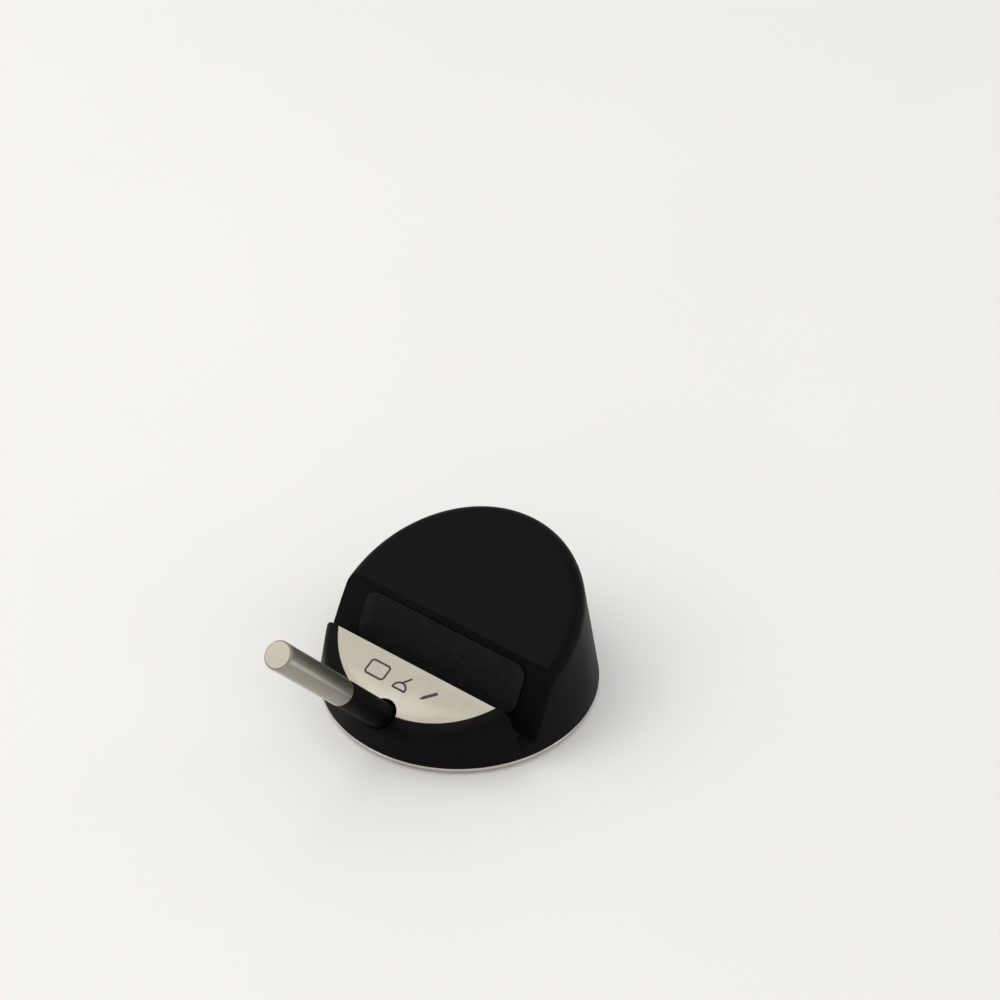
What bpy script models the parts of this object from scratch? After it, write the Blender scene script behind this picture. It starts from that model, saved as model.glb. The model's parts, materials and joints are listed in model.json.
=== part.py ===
"""Tablet stand with a pull-out stylus.

A round weighted base carries a sliced, drafted black body.  A slot across the body holds the lower
edge of a tablet and a backrest leans it back.  A silver plate covers the sloping front face, and the
stylus leans forward out of a socket at the plate's lower edge.

Metres, +Z up.  The origin is the centre of the anti-slip pad's underside.  +X is to the right of
someone facing the plate and +Y points to the back.
"""
import math

import bmesh
import bpy
from mathutils import Matrix, Vector

MM = 0.001
GAP = 0.3 * MM                       # between pieces that touch
SNUG = 0.15 * MM                     # between threads, inserts and rods

# Base
BASE_RADIUS = 55.0 * MM
BASE_THICKNESS = 1.6 * MM
BASE_EDGE_BEVEL = 0.35 * MM
FOOT_PAD = 0.7 * MM
FOOT_FILM = 0.15 * MM
FOOT_EDGE_MARGIN = 5.0 * MM
FOOT_EDGE_BEVEL = 0.2 * MM
FILM_SETBACK = 1.0 * MM              # of an adhesive film's edge inside its piece's edge

# Body
BODY_OVERHANG = 0.4 * MM             # of the body's foot past the base plate's edge
BODY_WALL = 2.4 * MM
WALL_DRAFT = math.radians(9.4)
TOP_SLOPE = math.radians(22.5)       # the sliced top face falls towards the front
SHOULDER_RADIUS = 5.0 * MM           # fillet between the top face and the wall
LIP_SETBACK = 28.7 * MM              # from the foot's front edge back to the slot's lip
LIP_HEIGHT = 24.9 * MM               # of the top edge of the slot's front wall

# Slot
SLOT_FLOOR_HEIGHT = 8.0 * MM
SLOT_FLOOR_WIDTH = 6.2 * MM
SLOT_FRONT_DRAFT = math.radians(7.0)
REST_LEAN = math.radians(26.8)       # backrest, from the vertical
PAD_THICKNESS = 0.7 * MM
FLOOR_PAD_MARGIN = 4.0 * MM          # from the ends of the slot
FLOOR_PAD_CORNER = 1.6 * MM
REST_PAD_SIDE_MARGIN = 11.04 * MM    # from the wall, at the backrest's top edge
REST_PAD_START = 5.0 * MM            # up the backrest, from the slot's floor
REST_PAD_MARGIN = 3.5 * MM           # below the backrest's top edge
REST_PAD_CORNER = 4.0 * MM

# Face plate
PLATE_SIDE_BORDER = 5.47 * MM        # of the body, beside the plate's straight edge
PLATE_FRONT_BORDER = 6.85 * MM       # of the body, below the lowest point of the plate's arc
PLATE_THICKNESS = 0.5 * MM
PLATE_FILM = 0.15 * MM

# Stylus socket and stylus
STYLUS_LEAN = math.radians(38.1)     # forward, from the vertical
STYLUS_RADIUS = 5.45 * MM
STYLUS_REACH = 84.6 * MM             # from the top face to the end of the cap, along the axis
SOCKET_CLEARANCE = 0.85 * MM         # round the stylus
SOCKET_RUNOUT = 0.55 * MM            # of the socket's mouth over the front edge of the top face
SOCKET_WALL = 2.0 * MM
SOCKET_BOTTOM_WALL = 1.64 * MM       # between the socket's round bottom and the body's foot
SOCKET_END_CLEARANCE = 2.0 * MM      # between the stylus tip and the socket's bottom
GRIP_REACH = 34.4 * MM               # from the top face to the end of the grip
GRIP_TAPER = 2.6 * MM
GRIP_WALL = 2.45 * MM
CAP_THICKNESS = 1.0 * MM
CAP_BEVEL = 0.6 * MM
CAP_PLUG_LENGTH = 6.0 * MM
BARREL_WALL = 0.9 * MM
CORE_INTO_BARREL = 18.0 * MM
TIP_INSET = 1.55 * MM                # of the tip's side inside the grip's side
TIP_COLLAR = 0.6 * MM
TIP_STEM_RADIUS = 1.5 * MM
TIP_STEM_LENGTH = 5.0 * MM
FERRULE_LENGTH = 8.0 * MM

# Ballast and fasteners
BALLAST_HEIGHT = 14.0 * MM
BALLAST_FRONT_GAP = 5.16 * MM        # behind the backrest's wall, at the ballast's top
BALLAST_SIDE_GAP = 1.2 * MM
SCREW_SHANK_RADIUS = 1.4 * MM
SCREW_TIP_CHAMFER = 0.5 * MM
SCREW_HEAD_RADIUS = 2.8 * MM
SCREW_HEAD_HEIGHT = 1.1 * MM
SCREW_HEAD_LAND = 0.2 * MM           # upright rim below the countersink
SCREW_LENGTH = 8.0 * MM
SCREW_SOCKET_RADIUS = 1.1 * MM
SCREW_SOCKET_DEPTH = 0.77 * MM
HOLE_END_CLEARANCE = 0.35 * MM       # past the end of a screw or an insert
INSERT_RADIUS = 2.3 * MM
INSERT_LENGTH = 6.0 * MM
BOSS_WALL = 1.8 * MM
BOSS_SETBACK = 11.2 * MM             # from the foot's edge in to a boss's axis
BOSS_DIRECTION = math.radians(45.46)  # from the X axis, in each quarter
BALLAST_SCREW_X = 17.0 * MM
BALLAST_SCREW_SETBACK = 20.0 * MM    # behind the ballast's front face

# Facets and cutting
BODY_SEGMENTS = 96
BODY_FILLET_SEGMENTS = 4
PLATE_ARC_STEPS = 40
PAD_CORNER_SEGMENTS = 4
STYLUS_SEGMENTS = 40
SMALL_SEGMENTS = 20
SOCKET_END_STEPS = 8
GRIP_TAPER_STEPS = 4
TIP_DOME_STEPS = 7
OVERRUN = 1.0 * MM                   # of a cutter past what it cuts
TINY = 0.001 * MM                    # points this close are one point

# Places that follow from the sizes above
BASE_BOTTOM = FOOT_PAD + FOOT_FILM + 2.0 * SNUG
BASE_TOP = BASE_BOTTOM + BASE_THICKNESS
BODY_FOOT = BASE_TOP + GAP
BODY_FOOT_RADIUS = BASE_RADIUS + BODY_OVERHANG


def wall_radius(height):
    """Radius of the drafted outer wall at a height."""
    return BODY_FOOT_RADIUS - (height - BODY_FOOT) * math.tan(WALL_DRAFT)


def wall_half_width(place):
    """Half of the body's width along X through a place."""
    return math.sqrt(wall_radius(place.z) ** 2 - place.y ** 2)


LIP = Vector((0.0, LIP_SETBACK - BODY_FOOT_RADIUS, LIP_HEIGHT))
DOWN_SLOPE = Vector((0.0, -math.cos(TOP_SLOPE), -math.sin(TOP_SLOPE)))
TOP_NORMAL = Vector((0.0, -math.sin(TOP_SLOPE), math.cos(TOP_SLOPE)))
REST_UP = Vector((0.0, math.sin(REST_LEAN), math.cos(REST_LEAN)))
REST_NORMAL = Vector((0.0, -math.cos(REST_LEAN), math.sin(REST_LEAN)))
FLOOR_FRONT = Vector((0.0, LIP.y + (LIP_HEIGHT - SLOT_FLOOR_HEIGHT) * math.tan(SLOT_FRONT_DRAFT),
                      SLOT_FLOOR_HEIGHT))
FLOOR_BACK = FLOOR_FRONT + Vector((0.0, SLOT_FLOOR_WIDTH, 0.0))
REST_HEIGHT = (LIP - FLOOR_BACK).dot(TOP_NORMAL) / REST_UP.dot(TOP_NORMAL)
REST_TOP = FLOOR_BACK + REST_UP * REST_HEIGHT

# The top face runs down from the lip until it meets the drafted wall.
FACE_DEPTH = ((wall_radius(LIP_HEIGHT) + LIP.y)
              / (math.cos(TOP_SLOPE) - math.sin(TOP_SLOPE) * math.tan(WALL_DRAFT)))
PLATE_HALF_CHORD = wall_half_width(LIP) - PLATE_SIDE_BORDER
PLATE_DEPTH = FACE_DEPTH - PLATE_FRONT_BORDER
PLATE_SEAT = PLATE_THICKNESS + PLATE_FILM + 2.0 * GAP

SOCKET_RADIUS = STYLUS_RADIUS + SOCKET_CLEARANCE
SOCKET_MOUTH = LIP + DOWN_SLOPE * (FACE_DEPTH - SOCKET_RADIUS + SOCKET_RUNOUT)
SOCKET_STRAIGHT = ((SOCKET_MOUTH.z - SOCKET_RADIUS - SOCKET_BOTTOM_WALL - BODY_FOOT)
                   / math.cos(STYLUS_LEAN))
STYLUS_FRONT = Vector((0.0, -math.cos(STYLUS_LEAN), -math.sin(STYLUS_LEAN)))
# The stylus lies against the front of its looser socket.
STYLUS_PLACE = SOCKET_MOUTH + STYLUS_FRONT * (SOCKET_CLEARANCE - GAP)
TIP_RADIUS = STYLUS_RADIUS - TIP_INSET
TIP_END = -SOCKET_STRAIGHT - SOCKET_RADIUS + SOCKET_END_CLEARANCE
GRIP_BOTTOM = TIP_END + TIP_RADIUS + TIP_COLLAR + GAP
GRIP_BORE = STYLUS_RADIUS - GRIP_WALL

BALLAST_TOP = BODY_FOOT + BALLAST_HEIGHT
BALLAST_FRONT_Y = (FLOOR_BACK.y + (BALLAST_TOP - SLOT_FLOOR_HEIGHT) * math.tan(REST_LEAN)
                   + BODY_WALL / math.cos(REST_LEAN) + BALLAST_FRONT_GAP)
BOSS_RADIUS = INSERT_RADIUS + SNUG + BOSS_WALL
SCREW_HEAD_BOTTOM = BASE_BOTTOM + SNUG
SCREW_TIP = SCREW_HEAD_BOTTOM + SCREW_LENGTH
INSERT_TOP = BODY_FOOT + INSERT_LENGTH

COLLECTION_NAME = "tablet_stand"
CUTTER_COLLECTION_NAME = "cutters"


# ---------------------------------------------------------------- scene helpers

def clear_scene():
    for existing in list(bpy.data.objects):
        bpy.data.objects.remove(existing, do_unlink=True)


def new_collection(name):
    collection = bpy.data.collections.new(name)
    bpy.context.scene.collection.children.link(collection)
    return collection


def new_material(name, colour, roughness, metallic=0.0):
    material = bpy.data.materials.new(name)
    material.use_nodes = True
    shader = material.node_tree.nodes["Principled BSDF"]
    shader.inputs["Base Color"].default_value = (*colour, 1.0)
    shader.inputs["Roughness"].default_value = roughness
    shader.inputs["Metallic"].default_value = metallic
    material.diffuse_color = (*colour, 1.0)
    return material


def add_part(name, mesh, material, parent=None):
    part = bpy.data.objects.new(name, mesh)
    if not mesh.materials:
        mesh.materials.append(material)
    parts.objects.link(part)
    part.parent = parent
    return part


def add_cutter(name, mesh, parent=None):
    cutter = bpy.data.objects.new(name, mesh)
    cutters.objects.link(cutter)
    cutter.hide_render = True
    cutter.display_type = "WIRE"
    cutter.parent = parent
    return cutter


def boolean(target, cutter, operation="DIFFERENCE"):
    modifier = target.modifiers.new(operation.title() + " " + cutter.name, "BOOLEAN")
    modifier.operation = operation
    modifier.solver = "EXACT"
    modifier.object = cutter


def smooth(mesh, angle=math.radians(35.0)):
    mesh.shade_smooth()
    mesh.set_sharp_from_angle(angle=angle)


# ---------------------------------------------------------------- shape helpers

def mesh_from_bmesh(name, shape):
    mesh = bpy.data.meshes.new(name)
    bmesh.ops.recalc_face_normals(shape, faces=shape.faces)
    shape.to_mesh(mesh)
    shape.free()
    return mesh


def cylinder_mesh(name, radius, bottom, top, segments):
    """Upright cylinder between two heights."""
    shape = bmesh.new()
    bmesh.ops.create_cone(
        shape, cap_ends=True, segments=segments, radius1=radius, radius2=radius, depth=top - bottom,
        matrix=Matrix.Translation((0.0, 0.0, (top + bottom) / 2.0)))
    return mesh_from_bmesh(name, shape)


def turned_mesh(name, profile, segments):
    """Solid of revolution about +Z.  The profile holds (radius, height) points, listed from the top
    down the outer side; it starts and ends on the axis, or is a closed ring."""
    source = bpy.data.meshes.new(name + "_profile")
    ring = profile[0][0] > 0.0
    edges = [(i, i + 1) for i in range(len(profile) - 1)]
    if ring:
        edges.append((len(profile) - 1, 0))
    source.from_pydata([(radius, 0.0, height) for radius, height in profile], edges, [])
    holder = bpy.data.objects.new(name + "_profile", source)
    cutters.objects.link(holder)
    screw = holder.modifiers.new("Screw", "SCREW")
    screw.axis = "Z"
    screw.steps = segments
    screw.render_steps = segments
    screw.use_merge_vertices = True
    screw.merge_threshold = TINY
    mesh = bpy.data.meshes.new_from_object(holder.evaluated_get(bpy.context.evaluated_depsgraph_get()))
    mesh.name = name
    bpy.data.objects.remove(holder, do_unlink=True)
    smooth(mesh)
    return mesh


def outline_mesh(name, outline, thickness):
    """Flat outline in XY, thickened evenly to both sides of its plane."""
    curve = bpy.data.curves.new(name + "_outline", "CURVE")
    curve.dimensions = "2D"
    curve.fill_mode = "BOTH"
    curve.extrude = thickness / 2.0
    spline = curve.splines.new("POLY")
    spline.points.add(len(outline) - 1)
    for point, (x, y) in zip(spline.points, outline):
        point.co = (x, y, 0.0, 1.0)
    spline.use_cyclic_u = True
    holder = bpy.data.objects.new(name + "_outline", curve)
    cutters.objects.link(holder)
    mesh = bpy.data.meshes.new_from_object(holder.evaluated_get(bpy.context.evaluated_depsgraph_get()))
    mesh.name = name
    bpy.data.objects.remove(holder, do_unlink=True)
    shape = bmesh.new()
    shape.from_mesh(mesh)
    bmesh.ops.remove_doubles(shape, verts=shape.verts, dist=TINY)
    bmesh.ops.recalc_face_normals(shape, faces=shape.faces)
    shape.to_mesh(mesh)
    shape.free()
    return mesh


def arc(centre_x, centre_y, radius, start, end, steps):
    """Points on an arc, both ends included."""
    points = []
    for step in range(steps + 1):
        angle = start + (end - start) * step / steps
        points.append((centre_x + radius * math.cos(angle), centre_y + radius * math.sin(angle)))
    return points


def slope_frame():
    """Matrix whose XY plane is the sliced top face: X stays, Y runs up the slope, origin at the lip."""
    return Matrix.Translation(LIP) @ Matrix.Rotation(TOP_SLOPE, 4, "X")


def side_profile_frame():
    """Matrix that stands an outline drawn as (y, z) upright and runs its thickness along X."""
    return Matrix.Rotation(math.pi / 2.0, 4, "Z") @ Matrix.Rotation(math.pi / 2.0, 4, "X")


# ---------------------------------------------------------------- body

def sliced_cone(name, foot_radius, foot_height, slice_point):
    """Drafted round wall cut off by a plane parallel to the top face."""
    height = 2.0 * BASE_RADIUS
    shape = bmesh.new()
    bmesh.ops.create_cone(
        shape, cap_ends=True, segments=BODY_SEGMENTS, radius1=foot_radius,
        radius2=foot_radius - height * math.tan(WALL_DRAFT), depth=height,
        matrix=Matrix.Translation((0.0, 0.0, foot_height + height / 2.0)))
    cut = bmesh.ops.bisect_plane(
        shape, geom=shape.verts[:] + shape.edges[:] + shape.faces[:], dist=TINY,
        plane_co=slice_point, plane_no=TOP_NORMAL, clear_outer=True)
    rim = [item for item in cut["geom_cut"] if isinstance(item, bmesh.types.BMEdge)]
    bmesh.ops.edgeloop_fill(shape, edges=rim)
    return mesh_from_bmesh(name, shape)


def round_shoulder(mesh, target):
    """Fillet the top rim to one radius: each edge's bevel width follows the angle that it turns."""
    shape = bmesh.new()
    shape.from_mesh(mesh)
    weights = shape.edges.layers.float.new("bevel_weight_edge")
    tangents = {}
    for edge in shape.edges:
        on_top = all(abs((vertex.co - LIP).dot(TOP_NORMAL)) < TINY for vertex in edge.verts)
        if on_top:
            tangents[edge] = SHOULDER_RADIUS * math.tan(edge.calc_face_angle() / 2.0)
    widest = max(tangents.values())
    for edge, tangent in tangents.items():
        edge[weights] = tangent / widest
    shape.to_mesh(mesh)
    shape.free()
    bevel = target.modifiers.new("Shoulder", "BEVEL")
    bevel.limit_method = "WEIGHT"
    bevel.width = widest
    bevel.segments = BODY_FILLET_SEGMENTS
    bevel.profile = 0.5


def slot_outline(grow, top):
    """Side outline (y, z) of the tablet slot, grown outwards all round by a wall."""
    front_in = Vector((0.0, math.cos(SLOT_FRONT_DRAFT), math.sin(SLOT_FRONT_DRAFT)))
    front_up = Vector((0.0, -math.sin(SLOT_FRONT_DRAFT), math.cos(SLOT_FRONT_DRAFT)))
    floor = SLOT_FLOOR_HEIGHT - grow
    front = FLOOR_FRONT - front_in * grow
    back = FLOOR_BACK - REST_NORMAL * grow
    outline = []
    for point, direction in ((front, front_up), (back, REST_UP)):
        at_floor = point + direction * ((floor - point.z) / direction.z)
        at_top = point + direction * ((top - point.z) / direction.z)
        outline.append(((at_floor.y, at_floor.z), (at_top.y, at_top.z)))
    return [outline[0][1], outline[0][0], outline[1][0], outline[1][1]]


def quarter_round(radius, depth, centre_height, steps):
    """Profile points round the lower quarter of an ellipse, from its side down towards its pole."""
    return [(radius * math.cos(math.pi / 2.0 * step / steps),
             centre_height - depth * math.sin(math.pi / 2.0 * step / steps)) for step in range(steps)]


def bullet_profile(radius):
    """Socket shape along the stylus axis: straight from above the mouth, with a round bottom."""
    above = 2.0 * radius
    return ([(0.0, above), (radius, above)]
            + quarter_round(radius, radius, -SOCKET_STRAIGHT, SOCKET_END_STEPS)
            + [(0.0, -SOCKET_STRAIGHT - radius)])


def add_socket_cutter(name, radius):
    cutter = add_cutter(name, turned_mesh(name, bullet_profile(radius), STYLUS_SEGMENTS))
    cutter.location = SOCKET_MOUTH
    cutter.rotation_euler = (STYLUS_LEAN, 0.0, 0.0)
    return cutter


def boss_places():
    reach = BODY_FOOT_RADIUS - BOSS_SETBACK
    return [(side * reach * math.cos(BOSS_DIRECTION), end * reach * math.sin(BOSS_DIRECTION))
            for end in (-1.0, 1.0) for side in (-1.0, 1.0)]


def build_body(material):
    """Black shell with its slot, plate seat and socket.  Returns the socket's cutter."""
    body_mesh = sliced_cone("body_shell", BODY_FOOT_RADIUS, BODY_FOOT, LIP)
    body = add_part("body_shell", body_mesh, material)
    round_shoulder(body_mesh, body)

    slot_length = 2.0 * (BODY_FOOT_RADIUS + OVERRUN)
    above = LIP_HEIGHT + 2.0 * BODY_FOOT_RADIUS
    slot = add_cutter("slot_cutter", outline_mesh("slot_cutter", slot_outline(0.0, above), slot_length))
    slot.matrix_world = side_profile_frame()

    # The hollow leaves a wall under the top face, round the slot, round the socket and round the bosses.
    hollow = add_cutter("hollow_cutter", sliced_cone(
        "hollow_cutter",
        BODY_FOOT_RADIUS - BODY_WALL / math.cos(WALL_DRAFT) + OVERRUN * math.tan(WALL_DRAFT),
        BODY_FOOT - OVERRUN, LIP - TOP_NORMAL * (BODY_WALL + PLATE_SEAT)))
    slot_walls = add_cutter(
        "slot_walls", outline_mesh("slot_walls", slot_outline(BODY_WALL, above), slot_length))
    slot_walls.matrix_world = side_profile_frame()
    boolean(hollow, slot_walls)
    boolean(hollow, add_socket_cutter("socket_walls", SOCKET_RADIUS + SOCKET_WALL))
    for number, (x, y) in enumerate(boss_places()):
        boss = add_cutter("boss_%d" % number, cylinder_mesh(
            "boss", BOSS_RADIUS, BODY_FOOT - 2.0 * OVERRUN, above, SMALL_SEGMENTS))
        boss.location = (x, y, 0.0)
        boolean(hollow, boss)
    boolean(body, hollow)
    boolean(body, slot)

    seat_height = PLATE_SEAT + BODY_WALL
    seat = add_cutter("plate_seat_cutter", outline_mesh(
        "plate_seat_cutter", plate_outline(GAP, slot_side=2.0 * GAP), seat_height))
    seat.matrix_world = slope_frame() @ Matrix.Translation((0.0, 0.0, seat_height / 2.0 - PLATE_SEAT))
    boolean(body, seat)
    socket = add_socket_cutter("socket_cutter", SOCKET_RADIUS)
    boolean(body, socket)

    hole_top = max(SCREW_TIP, INSERT_TOP) + HOLE_END_CLEARANCE
    for number, (x, y) in enumerate(boss_places()):
        hole = add_cutter("insert_hole_%d" % number, cylinder_mesh(
            "insert_hole", INSERT_RADIUS + SNUG, BODY_FOOT - OVERRUN, hole_top, SMALL_SEGMENTS))
        hole.location = (x, y, 0.0)
        boolean(body, hole)
    return socket


# ---------------------------------------------------------------- face plate

def plate_outline(grow=0.0, slot_side=0.0):
    """Circle segment in the slope frame: straight edge along the slot, arc towards the front."""
    radius = (PLATE_HALF_CHORD ** 2 + PLATE_DEPTH ** 2) / (2.0 * PLATE_DEPTH)
    centre = radius - PLATE_DEPTH
    radius += grow
    half_angle = math.acos((centre - slot_side) / radius)
    down = -math.pi / 2.0
    return arc(0.0, centre, radius, down - half_angle, down + half_angle, PLATE_ARC_STEPS)


def build_face_plate(plate_material, film_material, socket):
    film_height = -PLATE_THICKNESS - GAP - PLATE_FILM / 2.0
    layers = (("face_plate", plate_material, PLATE_THICKNESS, -PLATE_THICKNESS / 2.0, 0.0),
              ("face_plate_adhesive", film_material, PLATE_FILM, film_height, -FILM_SETBACK))
    for name, material, thickness, height, grow in layers:
        layer = add_part(name, outline_mesh(name, plate_outline(grow, slot_side=-GAP + grow), thickness),
                         material)
        layer.matrix_world = slope_frame() @ Matrix.Translation((0.0, 0.0, height))
        boolean(layer, socket)


# ---------------------------------------------------------------- slot pads

def pad_mesh(name, size, corner):
    """Flat pad with rounded corners."""
    shape = bmesh.new()
    bmesh.ops.create_cube(shape, size=1.0, matrix=Matrix.Diagonal((*size, 1.0)))
    upright = [edge for edge in shape.edges
               if abs(edge.verts[0].co.z - edge.verts[1].co.z) > size[2] / 2.0]
    bmesh.ops.bevel(shape, geom=upright, offset=corner, segments=PAD_CORNER_SEGMENTS, affect="EDGES",
                    profile=0.5)
    return mesh_from_bmesh(name, shape)


def build_slot_pads(material):
    floor_width = SLOT_FLOOR_WIDTH - 4.0 * GAP
    floor_size = (2.0 * (wall_half_width(FLOOR_FRONT) - FLOOR_PAD_MARGIN), floor_width, PAD_THICKNESS)
    floor_pad = add_part(
        "slot_floor_pad", pad_mesh("slot_floor_pad", floor_size, FLOOR_PAD_CORNER), material)
    floor_pad.location = (FLOOR_FRONT + FLOOR_BACK) / 2.0
    floor_pad.location.z += GAP + PAD_THICKNESS / 2.0

    rest_height = REST_HEIGHT - REST_PAD_START - REST_PAD_MARGIN
    rest_size = (2.0 * (wall_half_width(REST_TOP) - REST_PAD_SIDE_MARGIN), rest_height, PAD_THICKNESS)
    rest_pad = add_part("backrest_pad", pad_mesh("backrest_pad", rest_size, REST_PAD_CORNER), material)
    centre = FLOOR_BACK + REST_UP * (REST_PAD_START + rest_height / 2.0)
    rest_pad.location = centre + REST_NORMAL * (GAP + PAD_THICKNESS / 2.0)
    rest_pad.rotation_euler = (math.pi / 2.0 - REST_LEAN, 0.0, 0.0)


# ---------------------------------------------------------------- base

def screw_profile(head_bottom, clearance=0.0, overrun=0.0):
    """Countersunk screw from below, head down, listed from the top down its outer side."""
    shank = SCREW_SHANK_RADIUS + clearance
    head = SCREW_HEAD_RADIUS + clearance
    tip = head_bottom + SCREW_LENGTH
    return [(0.0, tip), (shank - SCREW_TIP_CHAMFER, tip), (shank, tip - SCREW_TIP_CHAMFER),
            (shank, head_bottom + SCREW_HEAD_HEIGHT), (head, head_bottom + SCREW_HEAD_LAND),
            (head, head_bottom - overrun), (0.0, head_bottom - overrun)]


def ballast_screw_places():
    return [(side * BALLAST_SCREW_X, BALLAST_FRONT_Y + BALLAST_SCREW_SETBACK) for side in (-1.0, 1.0)]


def build_base(base_material, pad_material, film_material):
    base = add_part("base_plate", turned_mesh("base_plate", [
        (0.0, BASE_TOP), (BASE_RADIUS - BASE_EDGE_BEVEL, BASE_TOP),
        (BASE_RADIUS, BASE_TOP - BASE_EDGE_BEVEL), (BASE_RADIUS, BASE_BOTTOM + BASE_EDGE_BEVEL),
        (BASE_RADIUS - BASE_EDGE_BEVEL, BASE_BOTTOM), (0.0, BASE_BOTTOM)], BODY_SEGMENTS), base_material)
    for number, (x, y) in enumerate(boss_places() + ballast_screw_places()):
        profile = screw_profile(BASE_BOTTOM, clearance=GAP, overrun=OVERRUN)
        hole = add_cutter("screw_hole_%d" % number, turned_mesh("screw_hole", profile, SMALL_SEGMENTS))
        hole.location = (x, y, 0.0)
        boolean(base, hole)

    foot_radius = BASE_RADIUS - FOOT_EDGE_MARGIN
    add_part("anti_slip_film", cylinder_mesh(
        "anti_slip_film", foot_radius - FILM_SETBACK, FOOT_PAD + SNUG, FOOT_PAD + SNUG + FOOT_FILM,
        BODY_SEGMENTS), film_material)
    add_part("anti_slip_pad", turned_mesh("anti_slip_pad", [
        (0.0, FOOT_PAD), (foot_radius, FOOT_PAD), (foot_radius, FOOT_EDGE_BEVEL),
        (foot_radius - FOOT_EDGE_BEVEL, 0.0), (0.0, 0.0)], BODY_SEGMENTS), pad_material)


def screw_mesh():
    """One countersunk screw with a hexagon socket."""
    screw = add_cutter("screw_blank", turned_mesh("screw_blank", screw_profile(0.0), SMALL_SEGMENTS))
    socket = add_cutter("screw_socket", cylinder_mesh(
        "screw_socket", SCREW_SOCKET_RADIUS, -OVERRUN, SCREW_SOCKET_DEPTH, segments=6))
    boolean(screw, socket)
    mesh = bpy.data.meshes.new_from_object(screw.evaluated_get(bpy.context.evaluated_depsgraph_get()))
    bpy.data.objects.remove(screw, do_unlink=True)
    bpy.data.objects.remove(socket, do_unlink=True)
    return mesh


def build_fasteners(screw_material, brass):
    screw = screw_mesh()
    for name, places in (("base_screw_%d", boss_places()), ("ballast_screw_%d", ballast_screw_places())):
        for number, (x, y) in enumerate(places, start=1):
            add_part(name % number, screw, screw_material).location = (x, y, SCREW_HEAD_BOTTOM)
    bore = SCREW_SHANK_RADIUS + SNUG
    bottom = BODY_FOOT + GAP
    insert = turned_mesh("insert", [
        (bore, INSERT_TOP), (INSERT_RADIUS, INSERT_TOP), (INSERT_RADIUS, bottom), (bore, bottom)],
        SMALL_SEGMENTS)
    for number, (x, y) in enumerate(boss_places(), start=1):
        add_part("threaded_insert_%d" % number, insert, brass).location = (x, y, 0.0)


def build_ballast(material):
    """Cast half disc in the rear of the body, cut straight along the slot."""
    radius = wall_radius(BALLAST_TOP) - BODY_WALL / math.cos(WALL_DRAFT) - BALLAST_SIDE_GAP
    shape = bmesh.new()
    bmesh.ops.create_cone(
        shape, cap_ends=True, segments=BODY_SEGMENTS, radius1=radius, radius2=radius,
        depth=BALLAST_HEIGHT, matrix=Matrix.Translation((0.0, 0.0, (BALLAST_TOP + BODY_FOOT) / 2.0)))
    cut = bmesh.ops.bisect_plane(
        shape, geom=shape.verts[:] + shape.edges[:] + shape.faces[:], dist=TINY,
        plane_co=(0.0, BALLAST_FRONT_Y, 0.0), plane_no=(0.0, -1.0, 0.0), clear_outer=True)
    rim = [item for item in cut["geom_cut"] if isinstance(item, bmesh.types.BMEdge)]
    bmesh.ops.edgeloop_fill(shape, edges=rim)
    ballast = add_part("ballast_weight", mesh_from_bmesh("ballast_weight", shape), material)
    # A notch lets each boss in, and runs out through the ballast's rim.
    reach = BOSS_RADIUS + 2.0 * GAP
    notch = arc(0.0, 0.0, reach, math.pi / 2.0, 3.0 * math.pi / 2.0, SMALL_SEGMENTS // 2)
    notch += [(BOSS_SETBACK, -reach), (BOSS_SETBACK, reach)]
    for number, (x, y) in enumerate(boss_places()):
        relief = add_cutter("boss_relief_%d" % number, outline_mesh(
            "boss_relief", notch, BALLAST_HEIGHT + 2.0 * OVERRUN))
        relief.location = (x, y, (BALLAST_TOP + BODY_FOOT) / 2.0)
        relief.rotation_euler.z = math.atan2(y, x)
        boolean(ballast, relief)
    for number, (x, y) in enumerate(ballast_screw_places()):
        thread = add_cutter("ballast_thread_%d" % number, cylinder_mesh(
            "ballast_thread", SCREW_SHANK_RADIUS + SNUG, BODY_FOOT - OVERRUN,
            SCREW_TIP + HOLE_END_CLEARANCE, SMALL_SEGMENTS))
        thread.location = (x, y, 0.0)
        boolean(ballast, thread)


# ---------------------------------------------------------------- stylus

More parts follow.
